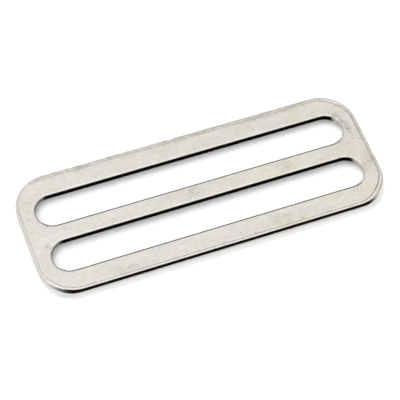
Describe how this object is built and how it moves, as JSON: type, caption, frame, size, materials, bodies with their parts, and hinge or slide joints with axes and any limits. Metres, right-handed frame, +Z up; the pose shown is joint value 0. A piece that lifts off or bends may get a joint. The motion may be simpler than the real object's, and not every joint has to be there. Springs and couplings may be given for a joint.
{
  "type": "buckle slider",
  "caption": "Flat rectangular metal slide with rounded corners and long parallel slots beside a centre bar, for adjusting and holding a webbing strap.",
  "frame": {"origin": "middle of the centre bar on the underside, the face that the plate rests on", "axes": "+X along the slots, across the webbing's width; +Y across the bars; +Z up out of the face whose outline is rolled over"},
  "size_m": [0.06, 0.023, 0.0012],
  "materials": {
    "nickel_plate": "satin, slightly warm nickel plating on stamped steel sheet, a little stained, with darker cut edges"
  },
  "bodies": {
    "root": {"slide_plate": "nickel_plate"}
  },
  "joints": []
}
